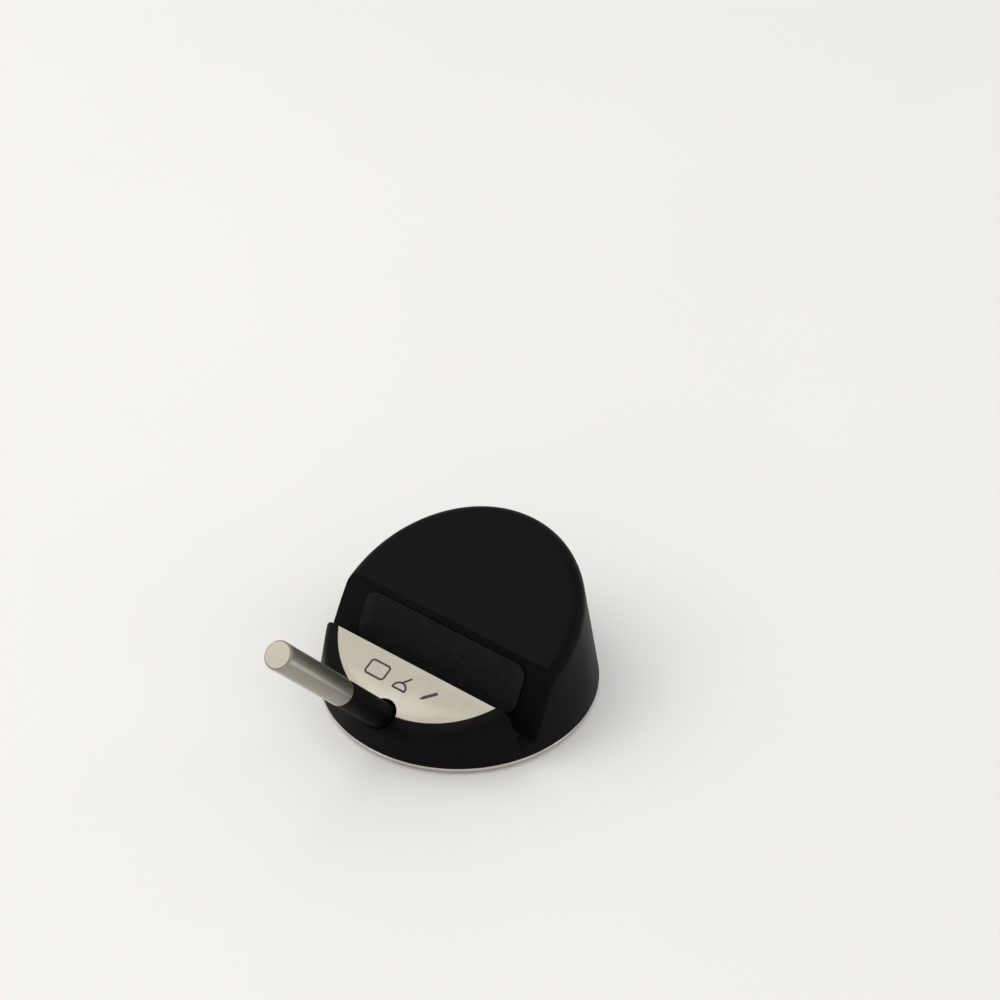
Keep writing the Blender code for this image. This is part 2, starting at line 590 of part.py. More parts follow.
def build_stylus(alloy, rubber, nib_rubber, brass, steel):
    axis = bpy.data.objects.new("stylus_axis", None)
    parts.objects.link(axis)
    axis.location = STYLUS_PLACE
    axis.rotation_euler = (STYLUS_LEAN, 0.0, 0.0)
    axis.empty_display_size = STYLUS_RADIUS

    barrel_bore = STYLUS_RADIUS - BARREL_WALL
    barrel_top = STYLUS_REACH - CAP_THICKNESS - GAP
    add_part("stylus_barrel", turned_mesh("stylus_barrel", [
        (barrel_bore, barrel_top), (STYLUS_RADIUS, barrel_top),
        (STYLUS_RADIUS, GRIP_REACH + GAP), (barrel_bore, GRIP_REACH + GAP)], STYLUS_SEGMENTS), alloy, axis)

    plug = barrel_bore - GAP
    cap_bottom = STYLUS_REACH - CAP_THICKNESS
    add_part("stylus_end_cap", turned_mesh("stylus_end_cap", [
        (0.0, STYLUS_REACH), (STYLUS_RADIUS - CAP_BEVEL, STYLUS_REACH),
        (STYLUS_RADIUS, STYLUS_REACH - CAP_BEVEL), (STYLUS_RADIUS, cap_bottom), (plug, cap_bottom),
        (plug, cap_bottom - CAP_PLUG_LENGTH), (0.0, cap_bottom - CAP_PLUG_LENGTH)], STYLUS_SEGMENTS),
        alloy, axis)

    taper = quarter_round(TIP_INSET, GRIP_TAPER, GRIP_BOTTOM + GRIP_TAPER, GRIP_TAPER_STEPS)
    add_part("stylus_grip", turned_mesh("stylus_grip", [
        (GRIP_BORE, GRIP_REACH), (STYLUS_RADIUS, GRIP_REACH),
        *((TIP_RADIUS + inset, height) for inset, height in taper),
        (TIP_RADIUS, GRIP_BOTTOM), (GRIP_BORE, GRIP_BOTTOM)], STYLUS_SEGMENTS), rubber, axis)

    # The core runs from the barrel to the tip ferrule: a wide head in the barrel, a rod in the grip.
    core_radius = GRIP_BORE - SNUG
    core_top = GRIP_REACH + CORE_INTO_BARREL
    core_bottom = GRIP_BOTTOM + FERRULE_LENGTH + GAP
    add_part("stylus_core", turned_mesh("stylus_core", [
        (0.0, core_top), (plug, core_top), (plug, GRIP_REACH + GAP), (core_radius, GRIP_REACH + GAP),
        (core_radius, core_bottom), (0.0, core_bottom)], STYLUS_SEGMENTS), steel, axis)

    stem_bore = TIP_STEM_RADIUS + SNUG
    stem_top = GRIP_BOTTOM + TIP_STEM_LENGTH
    add_part("stylus_ferrule", turned_mesh("stylus_ferrule", [
        (0.0, GRIP_BOTTOM + FERRULE_LENGTH), (core_radius, GRIP_BOTTOM + FERRULE_LENGTH),
        (core_radius, GRIP_BOTTOM), (stem_bore, GRIP_BOTTOM), (stem_bore, stem_top + GAP),
        (0.0, stem_top + GAP)], STYLUS_SEGMENTS), brass, axis)

    dome_top = GRIP_BOTTOM - GAP
    dome_centre = dome_top - TIP_COLLAR
    dome = quarter_round(TIP_RADIUS, TIP_RADIUS, dome_centre, TIP_DOME_STEPS)
    add_part("stylus_tip", turned_mesh("stylus_tip", [
        (0.0, stem_top), (TIP_STEM_RADIUS, stem_top), (TIP_STEM_RADIUS, dome_top),
        (TIP_RADIUS, dome_top), *dome, (0.0, TIP_END)], STYLUS_SEGMENTS), nib_rubber, axis)


# ---------------------------------------------------------------- assembly

clear_scene()
parts = new_collection(COLLECTION_NAME)
cutters = new_collection(CUTTER_COLLECTION_NAME)

black_shell = new_material("black_shell", (0.012, 0.010, 0.010), 0.55)
silver_plate = new_material("silver_plate", (0.62, 0.58, 0.50), 0.38, 1.0)
polished_base = new_material("polished_base", (0.66, 0.64, 0.60), 0.22, 1.0)
soft_pad = new_material("soft_pad", (0.016, 0.016, 0.017), 0.85)
foot_rubber = new_material("foot_rubber", (0.010, 0.010, 0.010), 0.9)
clear_film = new_material("clear_film", (0.75, 0.73, 0.66), 0.5)
cast_iron = new_material("cast_iron", (0.09, 0.09, 0.095), 0.7, 1.0)
zinc_steel = new_material("zinc_steel", (0.55, 0.55, 0.54), 0.35, 1.0)
brass = new_material("brass", (0.72, 0.52, 0.20), 0.35, 1.0)
satin_alloy = new_material("satin_alloy", (0.60, 0.57, 0.51), 0.33, 1.0)
grip_rubber = new_material("grip_rubber", (0.008, 0.007, 0.007), 0.7)
nib_rubber = new_material("nib_rubber", (0.02, 0.02, 0.02), 0.6)

socket_cutter = build_body(black_shell)
build_face_plate(silver_plate, clear_film, socket_cutter)
build_slot_pads(soft_pad)
build_base(polished_base, foot_rubber, clear_film)
build_fasteners(zinc_steel, brass)
build_ballast(cast_iron)
build_stylus(satin_alloy, grip_rubber, nib_rubber, brass, zinc_steel)
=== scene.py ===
"""The looks of the tablet stand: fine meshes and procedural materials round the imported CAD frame.

Metres, +Z up, in the CAD model's own frame.  The visible shells are rebuilt finely in the space that
their CAD nodes hold, and the pieces inside keep their CAD shape and get better materials.
"""
import json
import math

import bmesh
import bpy
from mathutils import Matrix, Vector


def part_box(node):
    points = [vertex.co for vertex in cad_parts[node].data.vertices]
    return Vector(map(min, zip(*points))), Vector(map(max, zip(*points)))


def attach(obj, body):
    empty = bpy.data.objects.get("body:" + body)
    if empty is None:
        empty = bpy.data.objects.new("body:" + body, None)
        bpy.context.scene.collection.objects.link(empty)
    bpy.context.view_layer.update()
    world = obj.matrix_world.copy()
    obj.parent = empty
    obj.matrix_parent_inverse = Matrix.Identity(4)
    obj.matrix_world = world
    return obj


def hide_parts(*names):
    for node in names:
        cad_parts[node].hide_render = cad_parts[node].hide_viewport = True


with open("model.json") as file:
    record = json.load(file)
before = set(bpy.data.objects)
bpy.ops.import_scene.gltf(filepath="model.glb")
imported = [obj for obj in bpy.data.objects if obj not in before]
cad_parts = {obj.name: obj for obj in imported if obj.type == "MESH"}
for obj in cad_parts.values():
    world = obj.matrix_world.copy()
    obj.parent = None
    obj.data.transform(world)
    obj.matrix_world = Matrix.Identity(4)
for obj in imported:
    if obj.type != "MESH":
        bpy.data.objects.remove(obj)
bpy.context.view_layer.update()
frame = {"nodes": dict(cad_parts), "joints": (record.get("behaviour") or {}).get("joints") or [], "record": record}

MM = 0.001

# Sizes that the CAD model is built from
WALL_DRAFT = math.radians(9.4)
TOP_SLOPE = math.radians(22.5)
SHOULDER_RADIUS = 5.0 * MM
LIP = Vector((0.0, -26.7 * MM, 24.9 * MM))
SLOT_FLOOR_HEIGHT = 8.0 * MM
SLOT_FLOOR_WIDTH = 6.2 * MM
SLOT_FRONT_DRAFT = math.radians(7.0)
REST_LEAN = math.radians(26.8)
BODY_WALL = 2.4 * MM
BOSS_WALL = 1.8 * MM
SNUG = 0.15 * MM
HOLE_END = 0.35 * MM
GAP = 0.3 * MM
PLATE_HALF_CHORD = 38.9 * MM
PLATE_DEPTH = 22.3 * MM
PLATE_THICKNESS = 0.5 * MM
PLATE_SEAT = 1.25 * MM
SOCKET_DOWN_SLOPE = 23.4 * MM
SOCKET_RADIUS = 6.3 * MM
SOCKET_STRAIGHT = 6.3 * MM
SOCKET_WALL = 2.0 * MM
STYLUS_RADIUS = 5.45 * MM
STYLUS_REACH = 84.6 * MM
GRIP_REACH = 34.4 * MM
GRIP_TAPER_TOP = -3.2 * MM
GRIP_TAPER = 2.6 * MM
GRIP_BORE = 3.0 * MM
TIP_RADIUS = 3.9 * MM
BARREL_WALL = 0.9 * MM
CAP_THICKNESS = 1.0 * MM
CAP_BEVEL = 0.6 * MM
CAP_PLUG_LENGTH = 6.0 * MM
BASE_BEVEL = 0.35 * MM
FOOT_BEVEL = 0.2 * MM

# Places read from the frame
BODY_LOW, BODY_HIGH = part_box("body_shell")
BASE_LOW, BASE_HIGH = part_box("base_plate")
FOOT_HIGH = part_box("anti_slip_pad")[1]
BODY_FOOT = BODY_LOW.z
BODY_FOOT_RADIUS = BODY_HIGH.x
BASE_RADIUS = BASE_HIGH.x
STYLUS_UP = Vector(frame["joints"][0]["axis"]).normalized()
STYLUS_LEAN = math.atan2(-STYLUS_UP.y, STYLUS_UP.z)
STYLUS_FRONT = Vector((0.0, -math.cos(STYLUS_LEAN), -math.sin(STYLUS_LEAN)))
DOWN_SLOPE = Vector((0.0, -math.cos(TOP_SLOPE), -math.sin(TOP_SLOPE)))
TOP_NORMAL = Vector((0.0, -math.sin(TOP_SLOPE), math.cos(TOP_SLOPE)))
REST_UP = Vector((0.0, math.sin(REST_LEAN), math.cos(REST_LEAN)))
REST_NORMAL = Vector((0.0, -math.cos(REST_LEAN), math.sin(REST_LEAN)))
SOCKET_MOUTH = LIP + DOWN_SLOPE * SOCKET_DOWN_SLOPE
STYLUS_PLACE = SOCKET_MOUTH + STYLUS_FRONT * (SOCKET_RADIUS - STYLUS_RADIUS - GAP)
FLOOR_FRONT = Vector((0.0, LIP.y + (LIP.z - SLOT_FLOOR_HEIGHT) * math.tan(SLOT_FRONT_DRAFT),
                      SLOT_FLOOR_HEIGHT))
FLOOR_BACK = FLOOR_FRONT + Vector((0.0, SLOT_FLOOR_WIDTH, 0.0))
PLATE_RADIUS = (PLATE_HALF_CHORD ** 2 + PLATE_DEPTH ** 2) / (2.0 * PLATE_DEPTH)
PLATE_CENTRE = PLATE_RADIUS - PLATE_DEPTH    # of the plate's arc, up the slope from the lip
SIDE_PROFILE = Matrix.Rotation(math.pi / 2.0, 4, "Z") @ Matrix.Rotation(math.pi / 2.0, 4, "X")
SLOPE_FRAME = Matrix.Translation(LIP) @ Matrix.Rotation(TOP_SLOPE, 4, "X")
STYLUS_TURN = Matrix.Rotation(STYLUS_LEAN, 4, "X")

# Printed mark on the plate
MARK_HEIGHT = 6.2 * MM
MARK_STROKE = 0.85 * MM
MARK_PITCH = 12.5 * MM
MARK_DOWN_SLOPE = 8.6 * MM
MARK_INK = 0.02 * MM

# How finely the visible surfaces are divided, and how far their edges are rounded
BODY_SEGMENTS = 240
FILLET_SEGMENTS = 12
ROUND_SEGMENTS = 96
BASE_SEGMENTS = 256
FOOT_SEGMENTS = 160
BOSS_SEGMENTS = 48
SOCKET_END_STEPS = 16
LIP_ROUND = 0.5 * MM
EDGE_ROUND = 0.22 * MM
PLATE_EDGE = 0.12 * MM
RIB_EDGE = 0.08 * MM
BASE_EDGE = 0.12 * MM
PEN_EDGE = 0.1 * MM
CAP_EDGE = 0.25 * MM
GRIP_EDGE = 0.15 * MM
GRIP_SHOULDER = 1.6 * MM
GRIP_END_EDGE = 0.4 * MM
CAP_RIM_EDGE = 0.04 * MM
PLUG_EDGE = 0.3 * MM
CUT_SMOOTH_DEGREES = 28.0
CUT_SHARP_ANGLE = math.radians(38.0)    # a body edge that turns more than this is rounded
FLAT_SHARP_ANGLE = math.radians(50.0)   # the same on the plate and the pads
LEVEL_ANGLE = math.radians(0.2)         # faces that turn less than this are joined before that
MERGE_DISTANCE = 0.002 * MM

# Small reliefs and clearances
BELOW = 1.0 * MM                        # of a cutter past the body's foot
SEAT_CLEARANCE = 0.12 * MM              # round the plate's arc
FACE_SKIN = 0.05 * MM                   # this far below the top face still counts as on it
PEN_SEAM = 0.06 * MM                    # half of the joint beside the barrel
PLUG_CLEARANCE = 0.1 * MM
GRIP_INSET = 0.05 * MM                  # of the grip's skin inside the barrel's
RIB_DEPTH = 0.22 * MM
RIB_GROOVE_SHARE = 0.38                 # of the ribs' pitch
FOOT_RINGS = 9
FOOT_GROOVE_DEPTH = 0.2 * MM
FOOT_GROOVE_HALF = 0.5 * MM             # half width at the foot's face
FOOT_GROOVE_FLOOR_HALF = 0.35 * MM
MARK_LIFT = 0.004 * MM                  # of the ink over the plate
FLARE = 0.3 * MM                        # of the slot cutter past its rounded lips
FLARE_LIFT = 0.02 * MM

# Studio
CAMERA_PLACE = Vector((0.4145, -0.5193, 0.5985))
CAMERA_TURN = math.radians(37.24)
CAMERA_TILT = math.radians(52.49)
CAMERA_ROLL = math.radians(0.3)
CAMERA_LENS = 80.8
FLOOR_SIZE = 6.0
STUDIO_WHITE = (1.0, 0.985, 0.965)
WORLD_STRENGTH = 0.76
SOFTBOXES = (                           # name, place, target, size, power, colour
    ("overhead", (-0.95, -0.25, 1.75), (0.0, -0.03, 0.02), 1.9, 11.0, STUDIO_WHITE),
    ("left_front", (-0.92, -1.12, 1.35), (0.0, -0.08, 0.05), 0.9, 3.4, STUDIO_WHITE),
    ("right_back", (1.5, 1.1, 1.0), (0.0, 0.0, 0.02), 1.0, 3.5, (1.0, 0.99, 0.98)),
)


# ---------------------------------------------------------------- studio

def build_studio():
    camera = bpy.data.objects.new("camera", bpy.data.cameras.new("camera"))
    bpy.context.scene.collection.objects.link(camera)
    camera.data.lens = CAMERA_LENS
    camera.data.sensor_width = 36.0
    camera.data.clip_start = 0.01
    turn = (Matrix.Rotation(CAMERA_TURN, 4, "Z") @ Matrix.Rotation(CAMERA_TILT, 4, "X")
            @ Matrix.Rotation(CAMERA_ROLL, 4, "Z"))
    camera.matrix_world = Matrix.Translation(CAMERA_PLACE) @ turn
    bpy.context.scene.camera = camera

    floor = new_object("studio_floor", plane_mesh("studio_floor", FLOOR_SIZE))
    floor.data.materials.append(floor_material())

    world = bpy.data.worlds.new("studio")
    world.use_nodes = True
    background = world.node_tree.nodes["Background"]
    background.inputs["Color"].default_value = (*STUDIO_WHITE, 1.0)
    background.inputs["Strength"].default_value = WORLD_STRENGTH
    bpy.context.scene.world = world
    for softbox in SOFTBOXES:
        add_softbox(*softbox)
    bpy.context.scene.view_settings.view_transform = "Standard"


def add_softbox(name, place, target, size, power, colour):
    light = bpy.data.lights.new(name, "AREA")
    light.shape = "SQUARE"
    light.size = size
    light.energy = power
    light.color = colour
    softbox = bpy.data.objects.new(name, light)
    bpy.context.scene.collection.objects.link(softbox)
    softbox.location = place
    softbox.rotation_euler = (Vector(target) - Vector(place)).to_track_quat("-Z", "Y").to_euler()


# ---------------------------------------------------------------- objects and meshes

def new_object(name, mesh):
    made = bpy.data.objects.new(name, mesh)
    bpy.context.scene.collection.objects.link(made)
    return made


def plane_mesh(name, size):
    shape = bmesh.new()
    bmesh.ops.create_grid(shape, x_segments=1, y_segments=1, size=size / 2.0)
    mesh = bpy.data.meshes.new(name)
    shape.to_mesh(mesh)
    shape.free()
    return mesh


def finished_mesh(shape, name):
    mesh = bpy.data.meshes.new(name)
    bmesh.ops.recalc_face_normals(shape, faces=shape.faces)
    shape.to_mesh(mesh)
    shape.free()
    return mesh


def applied(holder, *cutters):
    """The holder's mesh with its modifiers applied; the holder and its cutters are then removed."""
    depsgraph = bpy.context.evaluated_depsgraph_get()
    mesh = bpy.data.meshes.new_from_object(holder.evaluated_get(depsgraph))
    for used in (holder, *cutters):
        bpy.data.objects.remove(used, do_unlink=True)
    return mesh


def boolean(target, cutter):
    modifier = target.modifiers.new("cut by " + cutter.name, "BOOLEAN")
    modifier.operation = "DIFFERENCE"
    modifier.solver = "EXACT"
    modifier.object = cutter


def smooth(mesh, degrees=30.0):
    mesh.shade_smooth()
    mesh.set_sharp_from_angle(angle=math.radians(degrees))


def weighted_normals(piece):
    modifier = piece.modifiers.new("Weighted normals", "WEIGHTED_NORMAL")
    modifier.keep_sharp = True


def arc(centre, radius, start, end, steps):
    """Points on an arc in a plane, both ends included."""
    return [(centre[0] + radius * math.cos(start + (end - start) * step / steps),
             centre[1] + radius * math.sin(start + (end - start) * step / steps))
            for step in range(steps + 1)]


def rounded_rectangle(half_x, half_y, corner, steps, centre_x=0.0):
    points = []
    for sign_x, sign_y, start in ((1, 1, 0.0), (-1, 1, 0.5), (-1, -1, 1.0), (1, -1, 1.5)):
        centre = (centre_x + sign_x * (half_x - corner), sign_y * (half_y - corner))
        points += arc(centre, corner, start * math.pi, (start + 0.5) * math.pi, steps)
    return points


def turned_mesh(name, profile, segments=ROUND_SEGMENTS):
    """Solid of revolution about +Z, from (radius, height) points listed from the top down its outer
    side.  It starts and ends on the axis, or is a closed ring."""
    source = bpy.data.meshes.new(name + "_profile")
    edges = [(i, i + 1) for i in range(len(profile) - 1)]
    if profile[0][0] > 0.0:
        edges.append((len(profile) - 1, 0))
    source.from_pydata([(radius, 0.0, height) for radius, height in profile], edges, [])
    holder = new_object(name + "_profile", source)
    screw = holder.modifiers.new("Screw", "SCREW")
    screw.axis = "Z"
    screw.steps = segments
    screw.render_steps = segments
    screw.use_merge_vertices = True
    screw.merge_threshold = 0.000001
    mesh = applied(holder)
    smooth(mesh)
    return mesh


def rounded_profile(corners, rounds, steps=5):
    """Polyline through the corners with each corner rounded by its radius."""
    points = []
    last = len(corners) - 1
    for index, (corner, radius) in enumerate(zip(corners, rounds)):
        if radius <= 0.0 or index in (0, last):
            points.append(corner)
            continue
        here = Vector(corner)
        before = (Vector(corners[index - 1]) - here).normalized()
        after = (Vector(corners[index + 1]) - here).normalized()
        half = before.angle(after) / 2.0
        reach = radius / math.tan(half)
        centre = here + (before + after).normalized() * (radius / math.sin(half))
        start = here + before * reach - centre
        turn = math.pi - 2.0 * half
        if before.x * after.y - before.y * after.x > 0.0:
            turn = -turn
        for step in range(steps + 1):
            angle = turn * step / steps
            cosine, sine = math.cos(angle), math.sin(angle)
            points.append((centre.x + start.x * cosine - start.y * sine,
                           centre.y + start.x * sine + start.y * cosine))
    return points


def extruded_mesh(name, outline, length, matrix=Matrix.Identity(4)):
    """Prism from an outline in XY, spread evenly to both sides of its plane."""
    shape = bmesh.new()
    base = [shape.verts.new((x, y, -length / 2.0)) for x, y in outline]
    face = shape.faces.new(base)
    grown = bmesh.ops.extrude_face_region(shape, geom=[face])
    moved = [item for item in grown["geom"] if isinstance(item, bmesh.types.BMVert)]
    bmesh.ops.translate(shape, verts=moved, vec=(0.0, 0.0, length))
    mesh = finished_mesh(shape, name)
    mesh.transform(matrix)
    return mesh


# ---------------------------------------------------------------- body

def sliced_cone(name, foot_radius, foot_height, slice_point):
    height = 2.0 * BASE_RADIUS
    shape = bmesh.new()
    bmesh.ops.create_cone(
        shape, cap_ends=True, segments=BODY_SEGMENTS, radius1=foot_radius,
        radius2=foot_radius - height * math.tan(WALL_DRAFT), depth=height,
        matrix=Matrix.Translation((0.0, 0.0, foot_height + height / 2.0)))
    cut = bmesh.ops.bisect_plane(
        shape, geom=shape.verts[:] + shape.edges[:] + shape.faces[:], dist=0.0000001,
        plane_co=slice_point, plane_no=TOP_NORMAL, clear_outer=True)
    rim = [item for item in cut["geom_cut"] if isinstance(item, bmesh.types.BMEdge)]
    bmesh.ops.edgeloop_fill(shape, edges=rim)
    return finished_mesh(shape, name)


def round_rims(mesh, holder):
    """Fillet the top rim to the shoulder radius, and break the foot's edge a little."""
    shape = bmesh.new()
    shape.from_mesh(mesh)
    weights = shape.edges.layers.float.new("bevel_weight_edge")
    reaches = {}
    for edge in shape.edges:
        half_turn = edge.calc_face_angle() / 2.0
        if all(abs((vertex.co - LIP).dot(TOP_NORMAL)) < 0.00001 for vertex in edge.verts):
            reaches[edge] = SHOULDER_RADIUS * math.tan(half_turn)
        elif all(abs(vertex.co.z - BODY_FOOT) < 0.00001 for vertex in edge.verts):
            reaches[edge] = EDGE_ROUND
    widest = max(reaches.values())
    for edge, reach in reaches.items():
        edge[weights] = reach / widest
    shape.to_mesh(mesh)
    shape.free()
    bevel = holder.modifiers.new("Rims", "BEVEL")
    bevel.limit_method = "WEIGHT"
    bevel.width = widest
    bevel.segments = FILLET_SEGMENTS


def slot_outline(grow, top, lip_round):
    """Side outline (y, z) of the tablet slot.  Its mouth flares where it meets the top face, so that
    both lips are rounded."""
    front_in = Vector((0.0, math.cos(SLOT_FRONT_DRAFT), math.sin(SLOT_FRONT_DRAFT)))
    front_up = Vector((0.0, -math.sin(SLOT_FRONT_DRAFT), math.cos(SLOT_FRONT_DRAFT)))
    up_slope = -DOWN_SLOPE
    floor = SLOT_FLOOR_HEIGHT - grow
    sides = []
    for point, rise, outward in ((FLOOR_FRONT - front_in * grow, front_up, DOWN_SLOPE),
                                 (FLOOR_BACK - REST_NORMAL * grow, REST_UP, up_slope)):
        at_floor = point + rise * ((floor - point.z) / rise.z)
        height = (LIP - at_floor).dot(TOP_NORMAL) / rise.dot(TOP_NORMAL)
        corner = at_floor + rise * height
        if lip_round > 0.0:
            above = corner + outward * (4.0 * lip_round)
            mouth = rounded_profile([(at_floor.y, at_floor.z), (corner.y, corner.z), (above.y, above.z)],
                                    (0.0, lip_round, 0.0), steps=6)
            mouth.pop()
            lift = TOP_NORMAL * FLARE_LIFT
            mouth.append((mouth[-1][0] + outward.y * FLARE + lift.y,
                          mouth[-1][1] + outward.z * FLARE + lift.z))
            mouth.append((mouth[-1][0] + TOP_NORMAL.y * top, mouth[-1][1] + TOP_NORMAL.z * top))
        else:
            mouth = [(at_floor.y, at_floor.z), (corner.y + rise.y * top, corner.z + rise.z * top)]
        sides.append(mouth)
    return list(reversed(sides[0])) + sides[1]


def bullet_profile(radius, top):
    points = [(0.0, top), (radius, top)]
    points += [(radius * math.cos(angle), -SOCKET_STRAIGHT - radius * math.sin(angle))
               for angle in (math.pi / 2.0 * step / SOCKET_END_STEPS for step in range(SOCKET_END_STEPS))]
    points.append((0.0, -SOCKET_STRAIGHT - radius))
    return points


def socket_cutter(name, radius):
    cutter = new_object(name, turned_mesh(name, bullet_profile(radius, 4.0 * radius)))
    cutter.matrix_world = Matrix.Translation(SOCKET_MOUTH) @ STYLUS_TURN
    return cutter


def plate_outline(grow=0.0, slot_side=0.0, steps=120):
    """Circle segment in the slope frame: straight edge along the slot, arc towards the front."""
    radius = PLATE_RADIUS + grow
    half_angle = math.acos((PLATE_CENTRE - slot_side) / radius)
    down = -math.pi / 2.0
    return arc((0.0, PLATE_CENTRE), radius, down - half_angle, down + half_angle, steps)


def in_order(mesh):
    """The same mesh with its points and faces in one order, as a Boolean may give them in any."""
    points = [tuple(vertex.co) for vertex in mesh.vertices]
    order = sorted(range(len(points)), key=points.__getitem__)
    place_of = {point: place for place, point in enumerate(order)}
    faces = []
    for polygon in mesh.polygons:
        corners = [place_of[point] for point in polygon.vertices]
        first = corners.index(min(corners))
        faces.append(corners[first:] + corners[:first])
    ordered = bpy.data.meshes.new(mesh.name)
    ordered.from_pydata([points[point] for point in order], [], sorted(faces))
    return ordered


def round_edges(mesh, radius, angle, segments, chosen=None):
    """Round the sharp outer edges that the cuts leave, or only the chosen ones of them."""
    shape = bmesh.new()
    shape.from_mesh(in_order(mesh))
    bmesh.ops.remove_doubles(shape, verts=shape.verts, dist=MERGE_DISTANCE)
    bmesh.ops.dissolve_limit(shape, angle_limit=LEVEL_ANGLE, verts=shape.verts[:], edges=shape.edges[:])
    sharp = [edge for edge in shape.edges
             if edge.is_manifold and edge.is_convex and edge.calc_face_angle() > angle
             and (chosen is None or all(chosen(vertex.co) for vertex in edge.verts))]
    bmesh.ops.bevel(shape, geom=sharp, offset=radius, segments=segments, affect="EDGES", profile=0.5,
                    clamp_overlap=False, miter_outer="ARC")
    shape.to_mesh(mesh)
    shape.free()


def outside(place):
    """True on the body's outer skin and in the slot, and false in the plate's seat and the hollow."""
    from_lip = SLOPE_FRAME.inverted() @ place
    wall_radius = BODY_FOOT_RADIUS - (place.z - BODY_FOOT) * math.tan(WALL_DRAFT)
    from_wall = wall_radius - math.hypot(place.x, place.y)
    below_face = -from_lip.z
    from_middle = math.hypot(from_lip.x, from_lip.y - PLATE_CENTRE)
    over_seat = from_middle < PLATE_RADIUS + GAP and from_lip.y < 2.0 * GAP
    in_seat = over_seat and FACE_SKIN < below_face < PLATE_SEAT + GAP
    in_hollow = below_face > PLATE_SEAT + BODY_WALL - GAP and from_wall > BODY_WALL - GAP
    return not in_seat and not in_hollow


def boss_cutters(above):
    """Bosses in the hollow and the holes in them, one of each round every threaded insert."""
    bosses, holes = [], []
    screw_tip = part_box("base_screw_1")[1].z
    for number in range(1, 5):
        low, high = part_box("threaded_insert_%d" % number)
        middle = (low + high) / 2.0
        hole_radius = (high.x - low.x) / 2.0 + SNUG
        for made, name, radius, top in ((bosses, "boss", hole_radius + BOSS_WALL, above),
                                        (holes, "insert_hole", hole_radius, screw_tip + HOLE_END)):
            profile = [(0.0, top), (radius, top), (radius, 0.0), (0.0, 0.0)]
            cutter = new_object("%s_%d" % (name, number), turned_mesh(name, profile, BOSS_SEGMENTS))
            cutter.location = (middle.x, middle.y, 0.0)
            made.append(cutter)
    return bosses, holes


def build_body():
    shell = sliced_cone("body", BODY_FOOT_RADIUS, BODY_FOOT, LIP)
    holder = new_object("body_holder", shell)
    round_rims(shell, holder)

    length = 2.4 * BASE_RADIUS
    above = BASE_RADIUS
    slot = new_object("slot_cutter", extruded_mesh(
        "slot_cutter", slot_outline(0.0, above, LIP_ROUND), length, SIDE_PROFILE))

    hollow = new_object("hollow_cutter", sliced_cone(
        "hollow_cutter",
        BODY_FOOT_RADIUS - BODY_WALL / math.cos(WALL_DRAFT) + BELOW * math.tan(WALL_DRAFT),
        BODY_FOOT - BELOW, LIP - TOP_NORMAL * (BODY_WALL + PLATE_SEAT)))
    slot_walls = new_object("slot_walls", extruded_mesh(
        "slot_walls", slot_outline(BODY_WALL, above, 0.0), length, SIDE_PROFILE))
    socket_walls = socket_cutter("socket_walls", SOCKET_RADIUS + SOCKET_WALL)
    boolean(hollow, slot_walls)
    boolean(hollow, socket_walls)
    bosses, holes = boss_cutters(above)
    for boss in bosses:
        boolean(hollow, boss)

    seat_height = PLATE_SEAT + BODY_WALL
    seat = new_object("plate_seat_cutter", extruded_mesh(
        "plate_seat_cutter", plate_outline(SEAT_CLEARANCE, slot_side=2.0 * GAP), seat_height,
        SLOPE_FRAME @ Matrix.Translation((0.0, 0.0, seat_height / 2.0 - PLATE_SEAT))))
    socket = socket_cutter("socket_cutter", SOCKET_RADIUS)
    for cutter in (hollow, slot, seat, socket, *holes):
        boolean(holder, cutter)
    mesh = applied(holder, hollow, slot_walls, socket_walls, slot, seat, socket, *bosses, *holes)
    round_edges(mesh, EDGE_ROUND, CUT_SHARP_ANGLE, 3, outside)
    smooth(mesh, CUT_SMOOTH_DEGREES)
    body = new_object("body_cover", mesh)
    weighted_normals(body)
    body.data.materials.clear()
    body.data.materials.append(moulded_black())
    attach(body, "stand")
    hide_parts("body_shell")


# ---------------------------------------------------------------- face plate

def build_face_plate():
    mesh = extruded_mesh("face_plate_fine", plate_outline(0.0, slot_side=-GAP), PLATE_THICKNESS,
                         SLOPE_FRAME @ Matrix.Translation((0.0, 0.0, -PLATE_THICKNESS / 2.0)))
    round_edges(mesh, PLATE_EDGE, FLAT_SHARP_ANGLE, 3)
    holder = new_object("plate_holder", mesh)
    notch = socket_cutter("plate_notch", SOCKET_RADIUS)
    boolean(holder, notch)
    mesh = applied(holder, notch)
    smooth(mesh, CUT_SMOOTH_DEGREES)
    plate = new_object("front_plate", mesh)
    weighted_normals(plate)
    plate.data.materials.clear()
    plate.data.materials.append(blasted_alloy())
    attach(plate, "stand")
    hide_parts("face_plate")


def ribbon(shape, path, width, closed=False):
    """Flat stroke of even width along a path, added to a bmesh."""
    rims = []
    count = len(path)
    for index, point in enumerate(path):
        before = Vector(path[index - 1] if closed or index > 0 else point)
        after = Vector(path[(index + 1) % count] if closed or index < count - 1 else point)
        along = (after - before).normalized()
        side = Vector((-along.y, along.x)) * (width / 2.0)
        rims.append([shape.verts.new((point[0] + sign * side.x, point[1] + sign * side.y, 0.0))
                     for sign in (1.0, -1.0)])
    for index in range(count if closed else count - 1):
        left, right = rims[index]
        next_left, next_right = rims[(index + 1) % count]
        shape.faces.new((left, right, next_right, next_left))


